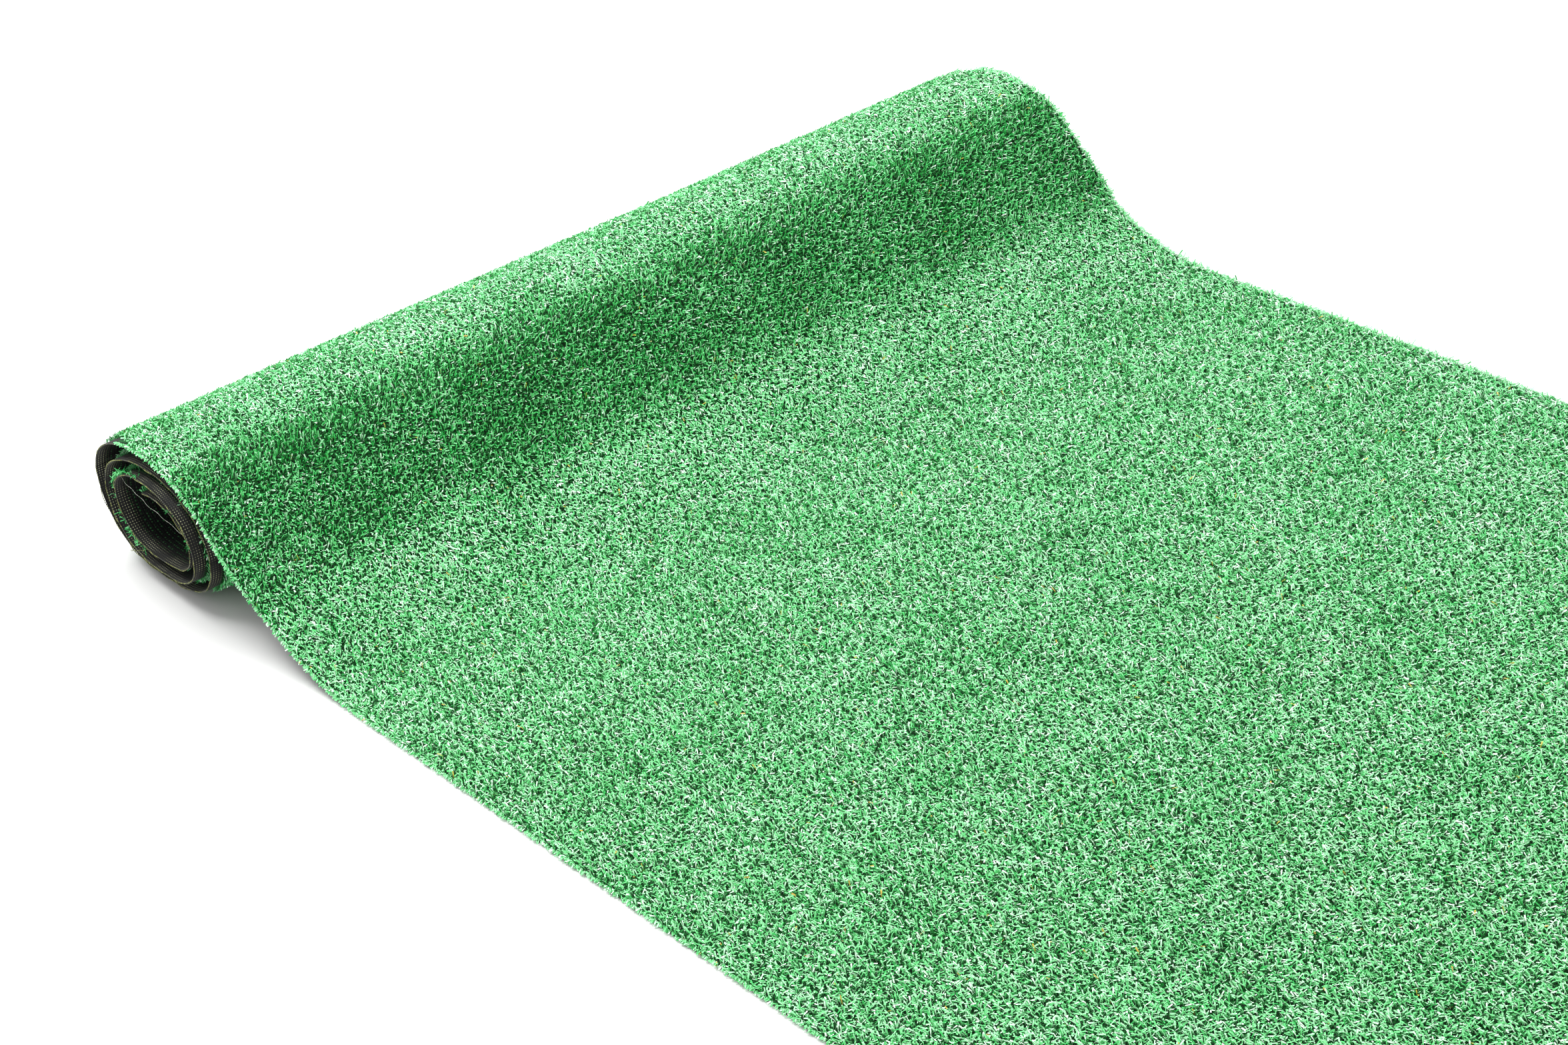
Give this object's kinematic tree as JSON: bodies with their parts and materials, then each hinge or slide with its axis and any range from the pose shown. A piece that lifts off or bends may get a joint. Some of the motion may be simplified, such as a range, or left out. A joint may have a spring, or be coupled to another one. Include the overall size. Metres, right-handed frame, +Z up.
{
  "type": "putting mat",
  "caption": "Length of short-pile putting turf with a woven backing, one end in a loose roll with the pile outward; the rolled end lifts and its outer turn opens.",
  "frame": {"origin": "on the floor, at the centre of the bounding box of the mat as it lies partly unrolled", "axes": "+X along the mat from the roll to the free end, +Y along the roll, +Z up"},
  "size_m": [1.7837, 1, 0.1442],
  "materials": {
    "woven_backing": "black woven polypropylene cloth with rows of yellow-green stitch dots",
    "turf_pile": "bright green cut yarn blades, semi-gloss, about 7 mm tall"
  },
  "bodies": {
    "flat_section": {"flat_section_backing": "woven_backing", "flat_section_pile": "turf_pile"},
    "ramp": {"ramp_foot_backing": "woven_backing", "ramp_foot_pile": "turf_pile", "ramp_01_backing": "woven_backing", "ramp_01_pile": "turf_pile", "ramp_02_backing": "woven_backing", "ramp_02_pile": "turf_pile", "ramp_03_backing": "woven_backing", "ramp_03_pile": "turf_pile"},
    "outer_turn_01": {"outer_turn_01_backing": "woven_backing", "outer_turn_01_pile": "turf_pile"},
    "outer_turn_02": {"outer_turn_02_backing": "woven_backing", "outer_turn_02_pile": "turf_pile"},
    "outer_turn_03": {"outer_turn_03_backing": "woven_backing", "outer_turn_03_pile": "turf_pile"},
    "outer_turn_04": {"outer_turn_04_backing": "woven_backing", "outer_turn_04_pile": "turf_pile"},
    "outer_turn_05": {"outer_turn_05_backing": "woven_backing", "outer_turn_05_pile": "turf_pile"},
    "outer_turn_06": {"outer_turn_06_backing": "woven_backing", "outer_turn_06_pile": "turf_pile"},
    "outer_turn_07": {"outer_turn_07_backing": "woven_backing", "outer_turn_07_pile": "turf_pile"},
    "outer_turn_08": {"outer_turn_08_backing": "woven_backing", "outer_turn_08_pile": "turf_pile"},
    "outer_turn_09": {"outer_turn_09_backing": "woven_backing", "outer_turn_09_pile": "turf_pile"},
    "inner_roll": {"outer_turn_10_backing": "woven_backing", "outer_turn_10_pile": "turf_pile", "outer_turn_11_backing": "woven_backing", "outer_turn_11_pile": "turf_pile", "middle_turn_01_backing": "woven_backing", "middle_turn_01_pile": "turf_pile", "middle_turn_02_backing": "woven_backing", "middle_turn_02_pile": "turf_pile", "middle_turn_03_backing": "woven_backing", "middle_turn_03_pile": "turf_pile", "middle_turn_04_backing": "woven_backing", "middle_turn_04_pile": "turf_pile", "middle_turn_05_backing": "woven_backing", "middle_turn_05_pile": "turf_pile", "middle_turn_06_backing": "woven_backing", "middle_turn_06_pile": "turf_pile", "middle_turn_07_backing": "woven_backing", "middle_turn_07_pile": "turf_pile", "middle_turn_08_backing": "woven_backing", "middle_turn_08_pile": "turf_pile", "inner_turn_01_backing": "woven_backing", "inner_turn_01_pile": "turf_pile", "inner_turn_02_backing": "woven_backing", "inner_turn_02_pile": "turf_pile", "inner_turn_03_backing": "woven_backing", "inner_turn_03_pile": "turf_pile", "inner_turn_04_backing": "woven_backing", "inner_turn_04_pile": "turf_pile", "inner_turn_05_backing": "woven_backing", "inner_turn_05_pile": "turf_pile", "inner_turn_06_backing": "woven_backing", "inner_turn_06_pile": "turf_pile"}
  },
  "joints": [
    {"name": "lift", "type": "hinge", "parent": "flat_section", "child": "ramp", "pos_m": [-0.39246, 0, 0], "axis": [0, 1, 0], "range_deg": [0, 30]},
    {"name": "unroll", "type": "hinge", "parent": "ramp", "child": "outer_turn_01", "pos_m": [-0.68446, 0, 0.10699], "axis": [0, 1, 0], "range_deg": [0, 14.82]},
    {"name": "outer_turn_02_bend", "type": "hinge", "parent": "outer_turn_01", "child": "outer_turn_02", "pos_m": [-0.73882, 0, 0.13209], "axis": [0, 1, 0], "range_deg": [0, 25.05]},
    {"name": "outer_turn_03_bend", "type": "hinge", "parent": "outer_turn_02", "child": "outer_turn_03", "pos_m": [-0.81615, 0, 0.13171], "axis": [0, 1, 0], "range_deg": [0, 25.3]},
    {"name": "outer_turn_04_bend", "type": "hinge", "parent": "outer_turn_03", "child": "outer_turn_04", "pos_m": [-0.86916, 0, 0.10633], "axis": [0, 1, 0], "range_deg": [0, 43.72]},
    {"name": "outer_turn_05_bend", "type": "hinge", "parent": "outer_turn_04", "child": "outer_turn_05", "pos_m": [-0.88336, 0, 0.06867], "axis": [0, 1, 0], "range_deg": [0, 46.3]},
    {"name": "outer_turn_06_bend", "type": "hinge", "parent": "outer_turn_05", "child": "outer_turn_06", "pos_m": [-0.86437, 0, 0.02914], "axis": [0, 1, 0], "range_deg": [0, 43.4]},
    {"name": "outer_turn_07_bend", "type": "hinge", "parent": "outer_turn_06", "child": "outer_turn_07", "pos_m": [-0.81412, 0, 0.00993], "axis": [0, 1, 0], "range_deg": [0, 23.79]},
    {"name": "outer_turn_08_bend", "type": "hinge", "parent": "outer_turn_07", "child": "outer_turn_08", "pos_m": [-0.7267, 0, 0.01434], "axis": [0, 1, 0], "range_deg": [0, 31.31]},
    {"name": "outer_turn_09_bend", "type": "hinge", "parent": "outer_turn_08", "child": "outer_turn_09", "pos_m": [-0.68894, 0, 0.04001], "axis": [0, 1, 0], "range_deg": [0, 46.48]},
    {"name": "inner_roll_bend", "type": "hinge", "parent": "outer_turn_09", "child": "inner_roll", "pos_m": [-0.6824, 0, 0.08003], "axis": [0, 1, 0], "range_deg": [0, 51.05]}
  ],
  "couplings": [
    {"joint": "outer_turn_02_bend", "follows": "unroll", "ratio": 1.6898},
    {"joint": "outer_turn_03_bend", "follows": "unroll", "ratio": 1.7068},
    {"joint": "outer_turn_04_bend", "follows": "unroll", "ratio": 2.95},
    {"joint": "outer_turn_05_bend", "follows": "unroll", "ratio": 3.1241},
    {"joint": "outer_turn_06_bend", "follows": "unroll", "ratio": 2.9284},
    {"joint": "outer_turn_07_bend", "follows": "unroll", "ratio": 1.605},
    {"joint": "outer_turn_08_bend", "follows": "unroll", "ratio": 2.1124},
    {"joint": "outer_turn_09_bend", "follows": "unroll", "ratio": 3.1366},
    {"joint": "inner_roll_bend", "follows": "unroll", "ratio": 3.4447}
  ]
}
